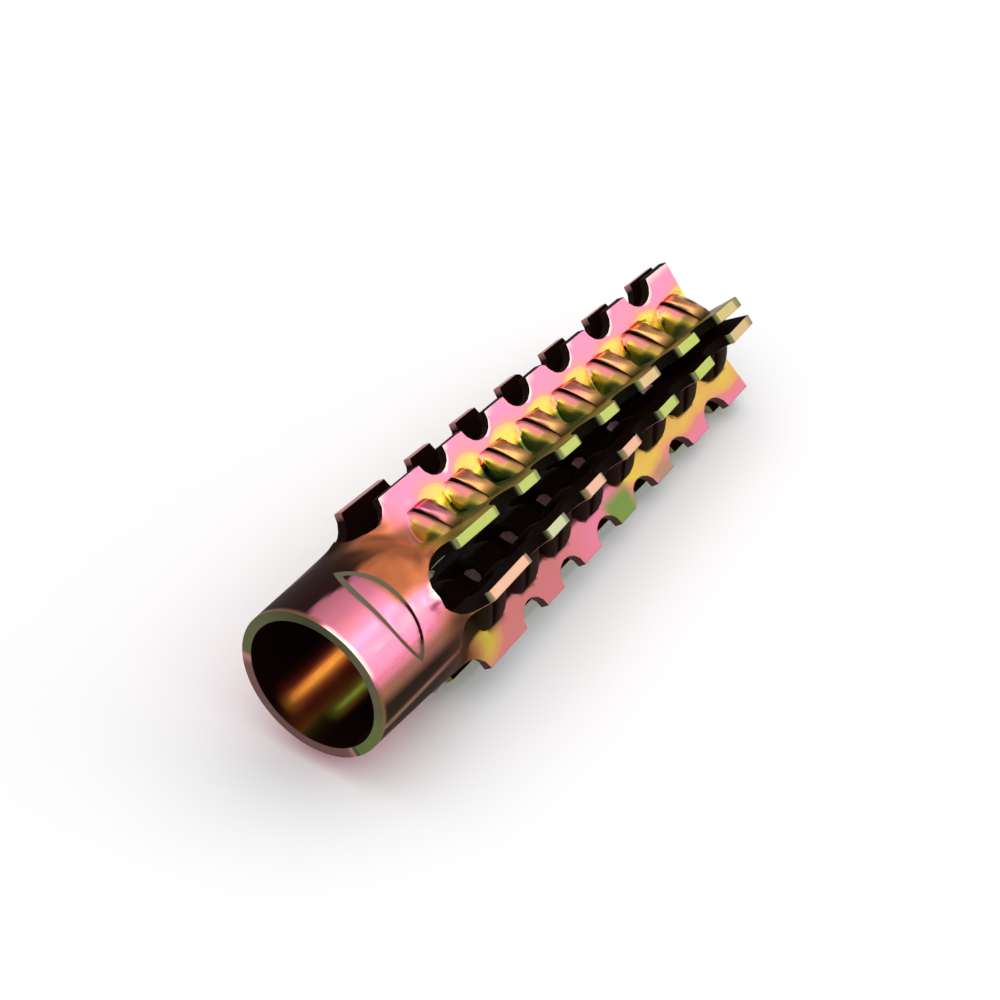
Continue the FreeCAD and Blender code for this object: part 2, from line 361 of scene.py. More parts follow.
@dataclass(frozen=True)
class Plating:
    """Where the iridescent film is thin or thick, and where shade, highlights and reflections are
    painted.

    A film is a place on a colour scale, and a shade runs from 0 (bright) to 1 (dark). The numbers
    in the methods were fitted to the photograph: angles around the axis in degrees, and
    distances in millimetres from the mouth, the crease or an edge.
    """

    sizes: SheetSizes
    mark: Mark
    crease_films: tuple[float, ...] = (0.74, 0.83, 0.86, 0.82, 0.77, 0.80, 0.76, 0.74)
    top_lands: tuple[float, ...] = (0.33, 0.36, 0.35, 0.34, 0.19, 0.31, 0.22)
    front_lands: tuple[float, ...] = (0.06, 0.43, 0.06, 0.12, 0.36, 0.31, 0.20)
    neck_film: float = 0.32
    wall_film: float = 0.29
    orange_brown_film: float = 0.50
    slot_highlight_film: float = 0.02
    rollover_highlight_film: float = 0.03
    pool_film: float = 0.61
    early_film: float = 0.47
    lip_film: float = 0.44
    turned_film: float = 0.93
    bridge_film: float = 0.52
    first_bridge_film: float = 0.36
    slit_rim: float = 0.05
    back_rim: float = 0.38
    mauve_rim: float = 0.83
    orange_reflection: float = 302.0
    green_streak: float = 272.0

    def at(self, spot: Spot) -> Finish:
        """The finish at one point of the sheet."""
        station, across = spot.station, spot.across
        length = self.sizes.wall_length(station)
        angle = (spot.valley.value + spot.side * across / length * HALF_QUARTER) % 360.0
        wobble = spot.drift(0.45, 0.7, 3.0 * spot.side)
        patch = spot.drift(1.1, 1.3)
        tube = 1.0 - self.sizes.folded(station)
        shoulder = bump(7.9, 1.5, station) * smooth(0.95, 0.6, across / length)
        film, shade = self.bridge(spot) if spot.raised else self.plain(spot, angle, wobble)
        film = mix(film, self.orange_brown_film + 0.05 * patch, 0.9 * shoulder)
        # Painted highlight along the rounded end of the front slot.
        if spot.is_on(Fin.FRONT_TOP, Valley.TOP):
            pale = self.slot_highlight(station, across)
            film, shade = mix(film, self.slot_highlight_film, pale), mix(shade, 0.0, pale)
        # Painted shade over the shoulder: near black by the front valley, patchy elsewhere.
        painted_dark = 0.95 if spot.valley is Valley.FRONT else 0.52 + 0.5 * patch
        shade = mix(shade, painted_dark, 0.85 * shoulder)
        rim, rim_shade = self.rim(spot, angle)
        inner_film, inner_shade = self.inside(angle, station)
        return Finish(
            film=film,
            shade=clamped(shade),
            rim=rim,
            rim_shade=rim_shade,
            inner_film=inner_film,
            inner_shade=inner_shade,
            mark=self.mark_distance(angle, station),
            mark_line=self.mark.line(angle),
            mark_dark=self.mark.darkness(angle, station),
            stain=self.stain(spot),
            scorch=max(0.95 * shoulder, tube * self.warm(angle, station, wobble)),
        )

    def mark_distance(self, angle: float, station: float) -> float:
        """Signed distance to the mark's outline, which ends with the neck."""
        if station >= self.sizes.neck_length:
            return FAR
        return min(self.mark.edge_distance(angle, station), FAR)

    def plain(self, spot: Spot, angle: float, wobble: float) -> Pair:
        """Film and shade of the outer face where it isn't raised."""
        share = self.sizes.folded(spot.station)
        neck_film, neck_shade = self.neck(angle, spot.station, wobble)
        wall_film, wall_shade = self.wall(spot, wobble)
        return mix(neck_film, wall_film, share), mix(neck_shade, wall_shade, share)

    def slot_highlight(self, station: float, across: float) -> float:
        """Share of painted highlight around the rounded end of the front slot."""
        sizes = self.sizes
        inwards = sizes.wall_length(station) - across
        past = station - sizes.slot_base - sizes.slot_base_radius
        away = math.hypot(past, inwards) - sizes.slot_base_radius
        return smooth(0.38, 0.2, away) * smooth(8.6, 8.0, station) * smooth(1.2, 0.8, inwards)

    def inside(self, angle: float, station: float) -> Pair:
        """Film and painted shade of the inner face: dark, with an orange and a green painted
        reflection.
        """
        orange, green = self.orange_reflection, self.green_streak
        film = 0.45 + 0.15 * bump(orange, 7.0, angle) + 0.33 * bump(green, 9.0, angle)
        shade = 1.0 - 1.05 * bump(orange, 9.0, angle) * smooth(0.3, 1.6, station)
        shade -= 0.9 * bump(green, 5.0, angle) * smooth(1.7, 3.2, station)
        shade -= 0.15 * bump(284.0, 10.0, angle)
        return film, clamped(mix(shade, 1.0, self.sizes.folded(station)))

    def stain(self, spot: Spot) -> float:
        """Share of green on the teeth of the front valley's lower wall."""
        if not spot.is_on(Fin.FRONT_FOOT, Valley.FRONT):
            return 0.0
        station = spot.station
        edge = self.sizes.wall_length(station) - spot.across
        olive = window((22.7, 23.5), (25.2, 26.0), station) * smooth(1.95, 1.3, edge)
        grey = 0.6 * window((27.4, 28.3), (29.4, 30.2), station) * smooth(1.1, 0.4, edge)
        return max(olive, grey)

    def mouth_rim(self, angle: float) -> Pair:
        """Film and painted shade of the mouth's edge, from olive through green to mauve."""
        mauve = window((221.0, 233.0), (346.0, 362.0), angle)
        green = window((165.0, 195.0), (221.0, 233.0), angle)
        olive = mix(0.65, 0.71, smooth(70.0, 115.0, angle))
        # Painted shade, deepest on the top of the edge.
        shade = 0.22 + 0.4 * bump(85.0, 35.0, angle)
        return mix(mix(olive, 0.92, mauve), 0.56, green), shade

    def rim(self, spot: Spot, angle: float) -> Pair:
        """Film and painted shade of the sheared edges: dark on slits, most notch flanks and edges
        turned from the light.
        """
        sizes = self.sizes
        station = spot.station
        if station < sizes.slot_base + 0.1:
            return self.mouth_rim(angle)
        if spot.across < sizes.reach(station) + 0.02:
            return self.slit_rim, 1.0
        flank = sizes.flank(station)
        land = abs(flank) >= 0.99
        if spot.fin is Fin.BACK_TOP:
            return self.mauve_rim, 0.2 if land and spot.valley is Valley.BACK else 1.0
        if spot.fin is Fin.FRONT_TOP:
            films = self.top_lands if spot.valley is Valley.TOP else self.front_lands
            film = films[sum(notch < station for notch, _ in sizes.bites()[1:])]
            if land:
                return film, 0.0
            return mix(film, self.mauve_rim, 0.6), 1.0 if abs(flank) < 0.94 else 0.1
        if spot.valley is Valley.FRONT:
            return self.mauve_rim, 0.85
        return self.back_rim, 0.0 if flank > 0.2 or land else 1.0

    def off_back(self, angle: float, wobble: float) -> float:
        """How far an angle on the neck's upper half is from its plain back."""
        return smooth(0.0, 46.0, angle + 20.0 * wobble)

    def warm(self, angle: float, station: float, wobble: float) -> float:
        """How far the neck has turned orange-brown under painted shade on its way to the shoulder.
        """
        front = smooth(126.0, 114.0, angle)
        return smooth(4.2, 5.0, station) * front * self.off_back(angle, wobble)

    def neck(self, angle: float, station: float, wobble: float) -> Pair:
        """Film and painted shade of the neck: pink, painted dark above and below, with painted
        highlights.
        """
        # The bump at 131 degrees paints a pale highlight along the neck.
        film = self.neck_film + 0.08 * wobble - 0.06 * bump(131.0, 9.0, angle)
        back = self.off_back(angle, wobble) if angle < 200.0 else 0.0
        # Painted shade on the side turned from the light, fading out towards the back.
        shade = 0.46 * smooth(121.0, 98.0, angle) * back
        if angle < 130.0:
            # Towards the shoulder: orange-brown film under painted shade; the upper side is painted
            # dark.
            warm = self.warm(angle, station, wobble)
            film = mix(film, self.orange_brown_film, warm)
            shade = mix(shade, 0.50 + 0.3 * wobble, warm)
            dark = angle + 6.0 * wobble - 6.0 * smooth(5.0, 7.0, station)
            shade = max(shade, smooth(86.0, 81.0, dark) * back)
        if 130.0 < angle < 260.0:
            # Underneath: brown film and painted shade, with a lighter painted reflection along the
            # neck.
            under = smooth(260.0, 205.0, angle + 20.0 * wobble)
            film = mix(film, self.orange_brown_film, smooth(146.0, 158.0, angle) * under)
            painted_dark = 0.66 * smooth(147.0, 158.0, angle) + 0.34 * smooth(158.0, 170.0, angle)
            shade = max(shade, (painted_dark - 0.33 * bump(187.0 - station, 2.0, angle)) * under)
        edge = self.mark_distance(angle, station)
        # At the mark's lower end: red-salmon film, with painted shade towards the outline.
        if 146.0 < angle < 180.0 and edge < 0.0:
            facet = smooth(-0.42, -0.25, edge) * smooth(3.8, 3.9, station)
            film, shade = 0.42, mix(0.25, 0.85, facet)
        # Along the mouth's edge: a painted highlight in front, painted shade elsewhere.
        mouth = smooth(0.32, 0.1, station)
        pale = window((90.0, 100.0), (140.0, 158.0), angle)
        return mix(film, mix(0.55, 0.05, pale), mouth), mix(shade, mix(0.8, 0.0, pale), mouth)

    def bridge(self, spot: Spot) -> Pair:
        """Film and painted shade of a bridge: painted shadow on the crease by its tip side and at
        one root.
        """
        sizes = self.sizes
        root = spot.across / sizes.reach(spot.station)
        film = self.bridge_film + 0.05 * spot.drift(1.0, 1.0)
        if spot.station < sizes.bridge_first + sizes.bridge_width + 0.1:
            film = self.first_bridge_film
        if spot.valley is Valley.FRONT:
            return film, 1.0
        along = (spot.station - sizes.bridge_first) % sizes.bridge_pitch / sizes.bridge_width
        leaf_shadow = 0.9 * smooth(0.45, 0.75, along) * smooth(0.42, 0.12, root)
        if spot.side < 0:
            return film, leaf_shadow
        return mix(film, 0.62, root), max(leaf_shadow, 0.04 + 0.9 * smooth(0.25, 0.75, root))

    def wall(self, spot: Spot, wobble: float) -> Pair:
        """Film and painted shade of a folded wall."""
        sizes = self.sizes
        station, across = spot.station, spot.across
        edge = sizes.wall_length(station) - sizes.trim(station) - across
        place = sizes.bridge_place(station)
        past = (place % 1.0) * sizes.bridge_pitch
        crease_film = self.crease_films[min(max(int(place), 0), sizes.bridge_count - 1)]
        pool = bump(1.5, 1.35, past) * bump(1.85, 0.88, across) * smooth(-0.1, 0.25, place)
        early = smooth(-0.1, -0.35, place) * smooth(2.0, 1.1, across)
        # Painted highlight where the punch rounded the edge.
        rolled = smooth(0.36, 0.10, edge) * 0.9 * self.rolled(spot)
        film = self.wall_film + 0.08 * wobble
        film = mix(film, self.pool_film, min(1.0, 1.7 * pool))
        film = mix(film, crease_film, smooth(1.5, 1.2, across + 0.25 * wobble))
        film = mix(film, self.early_film, early)
        film = mix(film, self.rollover_highlight_film, rolled)
        # Painted shade in the crease and before the first bridge.
        shade = max(0.25 * smooth(1.1, 0.4, across), 0.6 * early)
        lip = self.lip(station, across)
        # Lips: mauve film under light painted shade.
        film, shade = mix(film, self.lip_film, lip), mix(shade, 0.3, lip)
        # The wall turned away from the light: dark brown film and painted shade.
        if spot.is_on(Fin.FRONT_TOP, Valley.TOP):
            turned = smooth(0.05, 0.8, across)
            film = mix(film, self.turned_film, (0.75 - 0.5 * lip) * turned)
            shade = max(shade, (0.62 + 0.3 * wobble) * turned)
        if spot.is_on(Fin.FRONT_FOOT, Valley.FRONT):
            film, shade = self.front_foot(station, across + 0.8 * wobble)
        # Painted shade deep in the front valley and around its slits.
        if spot.valley is Valley.FRONT:
            gap = smooth(-0.75, -0.45, past - sizes.bridge_pitch) + smooth(1.25, 0.95, past)
            lanced = min(gap, 1.0) * smooth(2.4, 2.1, across)
            shade = max(shade, lanced, smooth(1.95, 1.6, across))
        return film, shade

    def lip(self, station: float, across: float) -> float:
        """Share of a raised lip, on the neck's side of a slit."""
        sizes = self.sizes
        if not sizes.bridge_first - 1.2 < station < sizes.length - 1.0:
            return 0.0
        ahead = (1.0 - sizes.bridge_place(station) % 1.0) * sizes.bridge_pitch
        before = ahead - sizes.slit_width
        return smooth(sizes.lip_top + 0.14, sizes.lip_top, before) * smooth(2.3, 2.0, across)

    def front_foot(self, station: float, across: float) -> Pair:
        """Film and painted shade of the front valley's lower wall, which the fin above shades; gold
        near the neck and the tip.
        """
        gold = max(
            smooth(3.8, 2.7, across) * smooth(24.0, 26.2, station),
            smooth(4.0, 2.2, across) * smooth(12.8, 10.0, station),
        )
        later = smooth(17.0, 22.0, station)
        last = self.sizes.bridge_count - 1
        gold_film = mix(0.66, 0.60, self.sizes.bridge_place(station) / last)
        return mix(mix(0.42, 0.33, later), gold_film, gold), mix(0.42, 0.30, later)

    def rolled(self, spot: Spot) -> float:
        """Share of painted highlight where the punch rounded the edge, on one side of each notch
        and near the tip.
        """
        if not spot.is_on(Fin.BACK_TOP, Valley.TOP):
            return 0.0
        flank = self.sizes.flank(spot.station)
        return max(window((-0.15, 0.35), (1.1, 1.45), flank), smooth(33.8, 35.4, spot.station))


@dataclass
class FoldedSheet:
    """The one sheet that makes the anchor: punched, lanced, rolled into a neck and folded.

    Sizes are in millimetres. Crease rows are shares of the bridges' reach, and edge rows are
    shares of the way from there to the edge. Base and tilt lay the anchor on the floor.
    """

    sizes: SheetSizes = field(default_factory=SheetSizes)
    mark: Mark = field(default_factory=Mark)
    crease_rows: tuple[float, ...] = (0.1, 0.2, 0.3, 0.42, 0.55, 0.68, 0.80, 0.90, 1.0)
    edge_rows: tuple[float, ...] = (0.14, 0.32, 0.52, 0.72, 0.88, 1.0)
    punched_spacing: float = 0.03
    plain_spacing: float = 0.12
    bite_steps: int = 8
    seam_gap: float = 0.035
    tip_setback: float = 0.008
    merge_distance: float = 0.002
    eased_width: float = 0.06
    eased_segments: int = 2
    base: Triple = (-18.93309, 0.0, 6.17908)
    tilt: float = 3.5139

    @property
    def tip(self) -> float:
        """The station of the tip's edge, a hair short of the solid's."""
        return self.sizes.length - self.tip_setback

    def stations(self) -> list[float]:
        """Distances from the mouth at which the blank gets a row of vertices across it.

        Rows on cuts come first and may lie close together. The rest fill in between, on lips
        and bridges, through the mark, along the neck and the shoulder, and along the walls.
        """
        sizes = self.sizes
        wanted = [0.0, self.tip]
        for near in sizes.bridges():
            wanted += [near - sizes.slit_width, near, near + sizes.bridge_width]
        for centre, radius in sizes.bites():
            turns = evenly(0.0, math.pi / self.bite_steps, self.bite_steps + 1)
            wanted += [centre + radius * math.cos(turn) for turn in turns]
        punched = len(wanted)
        for near in sizes.bridges():
            lip = near - sizes.slit_width
            wanted += [lip - sizes.lip_top * part for part in (0.5, 1.0)]
            wanted += [lip - sizes.lip_top - sizes.lip_slope * part for part in (0.33, 0.67, 1.0)]
            wanted += [near + sizes.bridge_width * part for part in (0.25, 0.5, 0.75)]
        wanted += evenly(2.8, 0.13, 19) + evenly(0.15, 0.25, 40) + evenly(9.5, 0.5, 57)
        kept: list[float] = []
        for number, station in enumerate(wanted):
            spacing = self.punched_spacing if number < punched else self.plain_spacing
            apart = all(abs(station - other) > spacing for other in kept)
            if apart and 0.0 <= station <= self.tip:
                kept.append(station)
        return sorted(kept)

    def across(self, station: float, row: int, seam: bool) -> float:
        """Signed distance from the crease of one row of vertices at a station.

        Args:
            station: Distance from the mouth.
            row: Number of the row, 0 on the crease and negative on one side.
            seam: Whether the row's outer edge is the open butt seam of the neck.

        Returns:
            The distance in millimetres.
        """
        reach = self.sizes.reach(max(station, self.sizes.bridge_first))
        step = abs(row)
        if step == 0:
            return 0.0
        if step <= len(self.crease_rows):
            return math.copysign(self.crease_rows[step - 1] * reach, row)
        end = self.sizes.wall_length(station) - self.sizes.trim(station)
        if seam and station <= self.sizes.slot_base:
            end -= self.seam_gap
        part = self.edge_rows[step - len(self.crease_rows) - 1]
        return math.copysign(mix(reach, end, part), row)

    def lancing(self, station: float, lean: float, raised: bool) -> Triple:
        """How the lancing of the bridges moves a point of the sheet.

        Args:
            station: Distance from the mouth.
            lean: Signed distance from the crease, as a share of the bridges' reach.
            raised: Whether the point is part of a bridge.

        Returns:
            How far it is lifted towards a bridge's arch (0 to 1), its share of the crown along
            the bridge, and how far it slides towards the tip in millimetres.
        """
        sizes = self.sizes
        root = min(abs(lean), 1.0)
        lip_end = sizes.lip_top + sizes.lip_slope
        lift = crown = closing = 0.0
        for near in sizes.bridges():
            behind = near - sizes.slit_width - station
            beyond = station - near - sizes.bridge_width
            if raised and -PLAY < station - near < sizes.bridge_width + PLAY:
                lift = 1.0
                crown = 1.0 - (2.0 * (station - near) / sizes.bridge_width - 1.0) ** 2
            elif not raised and -PLAY < behind < lip_end:
                at_slit = smooth(sizes.lip_top, 0.0, behind)
                lift = sizes.lip_height * smooth(lip_end, sizes.lip_top, behind)
                crown = -0.6 * at_slit
                closing = mix(sizes.lip_closing, -sizes.slit_widening, smooth(0.1, -0.85, lean))
                closing *= at_slit * smooth(1.0, 0.78, root)
            elif not raised and PLAY < beyond < sizes.bridge_run_out:
                run_out = smooth(sizes.bridge_run_out, 0.0, beyond)
                lift = run_out * smooth(sizes.free_share, 0.8, root)
        return lift, crown, closing

    def place(self, valley: Valley, station: float, across: float, raised: bool) -> Vector:
        """Where a point of one valley's blank, signed across, ends up in metres."""
        sizes = self.sizes
        depth, side = sizes.section_point(station, across)
        reach = sizes.reach(station)
        root = min(abs(across) / reach, 1.0)
        lift, crown, closing = self.lancing(station, across / reach, raised)
        station += closing
        if lift > 0.0 and root < 1.0:
            foot, spread = sizes.section_point(station, reach)
            arch = (1.0 - root * root) * (sizes.bridge_bulge + sizes.bridge_crown * crown)
            lift *= smooth(1.0, 0.72, root)
            depth = mix(depth, foot + arch, lift)
            side = mix(side, spread * across / reach, lift)
        angle = math.radians(valley.value)
        radius = math.hypot(depth, side)
        around = math.atan2(side, depth)
        fraction = abs(across) / sizes.wall_length(station)
        flare = sizes.flare * bump(sizes.flare_station, sizes.flare_length, station)
        radius += flare * fraction ** 8
        degrees = (valley.value + math.degrees(around)) % 360.0
        edge = self.mark.edge_distance(degrees, station)
        if -1.5 < edge < 1.0 and station < sizes.neck_length:
            radius -= self.mark.depth * bump(0.0, self.mark.groove, edge)
        spot = Vector((
            station,
            radius * math.cos(angle + around),
            radius * math.sin(angle + around),
        ))
        turned = Matrix.Rotation(math.radians(self.tilt), 4, "Y") @ spot
        return (turned + Vector(self.base)) * MM

    def strip(self, valley: Valley, plating: Plating) -> bmesh.types.BMesh:
        """One quarter of the blank, punched and lanced flat, then folded into its valley."""
        sizes = self.sizes
        stations = self.stations()
        rows = len(self.crease_rows) + len(self.edge_rows)
        blank = bmesh.new()
        columns = len(stations) - 1
        bmesh.ops.create_grid(blank, x_segments=columns, y_segments=2 * rows, size=0.5)
        layers = {part.name: blank.verts.layers.float.new(part.name) for part in fields(Finish)}
        eased = blank.verts.layers.float.new("eased")
        for vert in blank.verts:
            station = stations[round((vert.co.x + 0.5) * columns)]
            row = round(vert.co.y * 2 * rows)
            seam = (valley, row > 0) in ((Valley.FRONT, True), (Valley.FLOOR, False))
            vert.co = (station, self.across(station, row, seam), row)
        slits, raised = self.lanced_faces(blank)
        bmesh.ops.delete(blank, geom=slits, context="FACES")
        bmesh.ops.split_edges(blank, edges=self.free_ends(raised))
        lifted = {vert for face in raised for vert in face.verts}
        first_cut = sizes.bridge_first - sizes.slit_width - PLAY
        for vert in blank.verts:
            station, across = vert.co.x, vert.co.y
            side = 1 if across >= 0.0 else -1
            finish = plating.at(Spot(valley, side, station, abs(across), vert in lifted))
            for name, layer in layers.items():
                vert[layer] = getattr(finish, name)
            lanced = abs(across) < 1.02 * sizes.reach(station)
            vert[eased] = 0.0 if lanced and first_cut < station < self.tip - PLAY else 1.0
            vert.co = self.place(valley, station, across, vert in lifted)
        return blank

    def lanced_faces(self, blank: bmesh.types.BMesh) -> tuple[list[Face], list[Face]]:
        """The faces that each slit takes away, and the faces that are pushed out as bridges."""
        sizes = self.sizes
        slits = []
        raised = []
        for face in blank.faces:
            middle = face.calc_center_median()
            if abs(middle.z) > len(self.crease_rows):
                continue
            for near in sizes.bridges():
                if near < middle.x < near + sizes.bridge_width:
                    raised.append(face)
                elif near - sizes.slit_width < middle.x < near:
                    slits.append(face)
        return slits, raised

    def free_ends(self, raised: list[Face]) -> list[bmesh.types.BMEdge]:
        """The edges at which the middle of each bridge is cut free on the side of the tip."""
        bridges = set(raised)
        ends = {}
        for edge in (edge for face in raised for edge in face.edges):
            first, second = (vert.co for vert in edge.verts)
            crosswise = abs(first.x - second.x) < 1e-6
            outer = any(other not in bridges for other in edge.link_faces)
            free = abs(first.y) < self.sizes.free_share * self.sizes.reach(first.x)
            if crosswise and outer and free:
                ends[edge] = True
        return list(ends)

    def joined(self, plating: Plating) -> bmesh.types.BMesh:
        """The four strips as one sheet that faces outwards."""
        sheet = bmesh.new()
        for valley in Valley:
            part = meshed("strip", self.strip(valley, plating))
            sheet.from_mesh(part)
            bpy.data.meshes.remove(part)
        bmesh.ops.remove_doubles(sheet, verts=sheet.verts, dist=self.merge_distance * MM)
        bmesh.ops.recalc_face_normals(sheet, faces=sheet.faces)
        axis = Vector(self.base) * MM
        outward = sum(
            face.normal.dot((face.calc_center_median() - axis) * Vector((0.0, 1.0, 1.0)))
            for face in sheet.faces
            if face.calc_center_median().x < axis.x + 5.0 * MM
        )
        if outward < 0.0:
            bmesh.ops.reverse_faces(sheet, faces=sheet.faces)
        return sheet

    def build(self, plating: Plating) -> bpy.types.Object:
        """The whole sheet as one piece with its thickness and eased edges."""
        sheet = self.joined(plating)
        for face in sheet.faces:
            face.smooth = True
        eased = sheet.verts.layers.float["eased"]
        weight = sheet.edges.layers.float.new("bevel_weight_edge")
        for edge in sheet.edges:
            if edge.is_boundary and all(vert[eased] > 0.5 for vert in edge.verts):
                edge[weight] = 1.0
        piece = placed("folded_sheet", meshed("folded_sheet", sheet))
        thickness = piece.modifiers.new("thickness", "SOLIDIFY")
        thickness.thickness = self.sizes.thickness * MM
        thickness.offset = 0.0
        thickness.use_even_offset = False
        thickness.use_quality_normals = True
        thickness.material_offset = 1
        thickness.material_offset_rim = 2
        edges = piece.modifiers.new("eased_edges", "BEVEL")
        edges.width = self.eased_width * MM
        edges.segments = self.eased_segments
        edges.limit_method = "WEIGHT"
        edges.use_clamp_overlap = False
        edges.harden_normals = True
        return piece


class NodeBench:
    """Adds and links shader nodes in one material."""

    def __init__(self, name: str) -> None:
        """Starts a material that holds nothing but its output and one metal shader."""
        self.material = bpy.data.materials.new(name)
        self.material.use_nodes = True
        self.tree = self.material.node_tree
        self.tree.nodes.clear()
        output = self.add("ShaderNodeOutputMaterial")
        self.shader = self.add("ShaderNodeBsdfPrincipled")
        self.link(self.shader.outputs["BSDF"], output.inputs["Surface"])

    def add(self, kind: str, **values: object) -> bpy.types.Node:
        """Adds a node and sets its properties, or its inputs where the name is an input's."""
        node = self.tree.nodes.new(kind)
        for name, value in values.items():
            if hasattr(node, name):
                setattr(node, name, value)
            else:
                node.inputs[name].default_value = value
        return node

    def link(self, start: Socket, end: Socket) -> None:
        """Joins two sockets."""
        self.tree.links.new(start, end)

    def feed(self, value: object, socket: Socket) -> None:
        """Links a socket to an input, or sets the input where the value is a plain one."""
        if isinstance(value, Socket):
            self.link(value, socket)
        else:
            socket.default_value = value

    def attribute(self, name: str) -> Socket:
        """The number that the mesh keeps under a name at each point."""
        return self.add("ShaderNodeAttribute", attribute_name=name).outputs["Fac"]

    def grain(self, scale: float, detail: float, stretch: Triple) -> Socket:
        """Noise on the object's own coordinates, stretched along its axes."""
        place = self.add("ShaderNodeTexCoord").outputs["Object"]
        mapping = self.add("ShaderNodeMapping")
        mapping.inputs["Scale"].default_value = stretch
        self.link(place, mapping.inputs["Vector"])
        texture = self.add("ShaderNodeTexNoise", Scale=scale, Detail=detail)
        self.link(mapping.outputs["Vector"], texture.inputs["Vector"])
        return texture.outputs["Fac"]

    def math(self, operation: str, *values: object, clamp: bool = False) -> Socket:
        """One arithmetic step on sockets and numbers."""
        node = self.add("ShaderNodeMath", operation=operation, use_clamp=clamp)
        for number, value in enumerate(values):
            self.feed(value, node.inputs[number])
        return node.outputs[0]

    def ramp(self, value: Socket, stops: tuple) -> Socket:
        """A colour scale: each stop is a place and a linear colour."""
        node = self.add("ShaderNodeValToRGB")
        scale = node.color_ramp
        scale.interpolation = "EASE"
        while len(scale.elements) > 1:
            scale.elements.remove(scale.elements[-1])
        for number, (place, colour) in enumerate(stops):
            element = scale.elements[0] if number == 0 else scale.elements.new(place)
            element.position = place
            element.color = opaque(colour)
        self.link(value, node.inputs["Fac"])
        return node.outputs["Color"]

    def blend(self, kind: str, share: object, first: object, second: object) -> Socket:
        """Two colours mixed by a share."""
        node = self.add("ShaderNodeMix", data_type="RGBA", blend_type=kind)
        for number, value in ((MIX_SHARE, share), (MIX_FIRST, first), (MIX_SECOND, second)):
            self.feed(value, node.inputs[number])
        return node.outputs[MIX_RESULT]

    def relief(self, height: Socket, strength: float, distance: float) -> None:
        """Gives the surface a fine relief."""
        node = self.add("ShaderNodeBump", Strength=strength, Distance=distance)
        self.link(height, node.inputs["Height"])
        self.link(node.outputs["Normal"], self.shader.inputs["Normal"])


@dataclass(frozen=True)
class ChromateFilm:
    """Glossy chromate plating whose thin film shifts from pink through gold to olive, under painted
    shade.
    """

    name: str
    stops: tuple
    shade_colour: Triple = (0.015, 0.012, 0.0075)
    shade_glow: float = 0.35
    shade_roughness: float = 0.3
    metal_loss: float = 0.98
    gloss: float = 0.25
    gloss_loss: float = 0.9
    roughness: float = 0.24
    speck_scale: float = 5200.0
    speck_roughness: float = 0.12
    relief: float = 0.12
    relief_height: float = 0.00003
    cloud_scale: float = 420.0
    drift: float = 0.16
    film_channel: str = "film"
    shade_channel: str = "shade"
    shows_mark: bool = False
    line_sharpness: float = 16.0
    line_colour: Triple = (0.17, 0.155, 0.095)
    line_dark: Triple = (0.012, 0.004, 0.005)
    stain_colour: Triple = (0.24, 0.36, 0.075)
    scorch_colour: Triple = (0.93, 0.26, 0.09)

    def film(self, bench: NodeBench) -> Socket:
        """The colour of the bright film, clouded a little, scorched and stained."""
        cloud = bench.grain(self.cloud_scale, 3.0, (0.6, 1.0, 1.0))
        drift = bench.math("MULTIPLY", bench.math("SUBTRACT", cloud, 0.5), self.drift)
        film = bench.math("ADD", bench.attribute(self.film_channel), drift)
        colour = bench.ramp(film, self.stops)
        if self.shows_mark:
            for name, dye in (("scorch", self.scorch_colour), ("stain", self.stain_colour)):
                colour = bench.blend("MIX", bench.attribute(name), colour, opaque(dye))
        return colour

    def mark_line(self, bench: NodeBench) -> tuple[Socket, Socket]:
        """Share and colour of the pressed mark's outline."""
        away = bench.math("ABSOLUTE", bench.attribute("mark"))
        inside = bench.math("SUBTRACT", bench.attribute("mark_line"), away)
        line = bench.math("MULTIPLY_ADD", inside, self.line_sharpness, 0.5, clamp=True)
        darkness = bench.attribute("mark_dark")
        return line, bench.blend("MIX", darkness, opaque(self.line_colour), opaque(self.line_dark))

    def material(self) -> bpy.types.Material:
        """The finish as a material."""
        bench = NodeBench(self.name)
        colour = self.film(bench)
        # Painted shade: the shade attribute turns the colour towards a dark copy and the surface
        # duller.
        shade = bench.attribute(self.shade_channel)
        glow = opaque(tuple(self.shade_glow * part for part in self.shade_colour))
        dark = bench.blend("MULTIPLY", 1.0, colour, opaque(self.shade_colour))
        dark = bench.blend("ADD", 1.0, dark, glow)
        colour = bench.blend("MIX", shade, colour, dark)
        if self.shows_mark:
            line, dye = self.mark_line(bench)
            colour = bench.blend("MIX", line, colour, dye)
            shade = bench.math("MAXIMUM", shade, line)
        bench.link(colour, bench.shader.inputs["Base Color"])
        metallic = bench.math("MULTIPLY_ADD", shade, -self.metal_loss, 1.0)
        bench.link(metallic, bench.shader.inputs["Metallic"])
        gloss = bench.math("MULTIPLY_ADD", shade, -self.gloss_loss * self.gloss, self.gloss)
        bench.link(gloss, bench.shader.inputs["Specular IOR Level"])
        specks = bench.grain(self.speck_scale, 2.0, (0.25, 1.0, 1.0))
        smoothest = self.roughness - 0.5 * self.speck_roughness
        rough = bench.math("MULTIPLY", specks, self.speck_roughness)
        rough = bench.math("ADD", rough, smoothest)
        rough = bench.math("ADD", rough, bench.math("MULTIPLY", shade, self.shade_roughness))
        bench.link(rough, bench.shader.inputs["Roughness"])
        bench.relief(specks, self.relief, self.relief_height)
        return bench.material


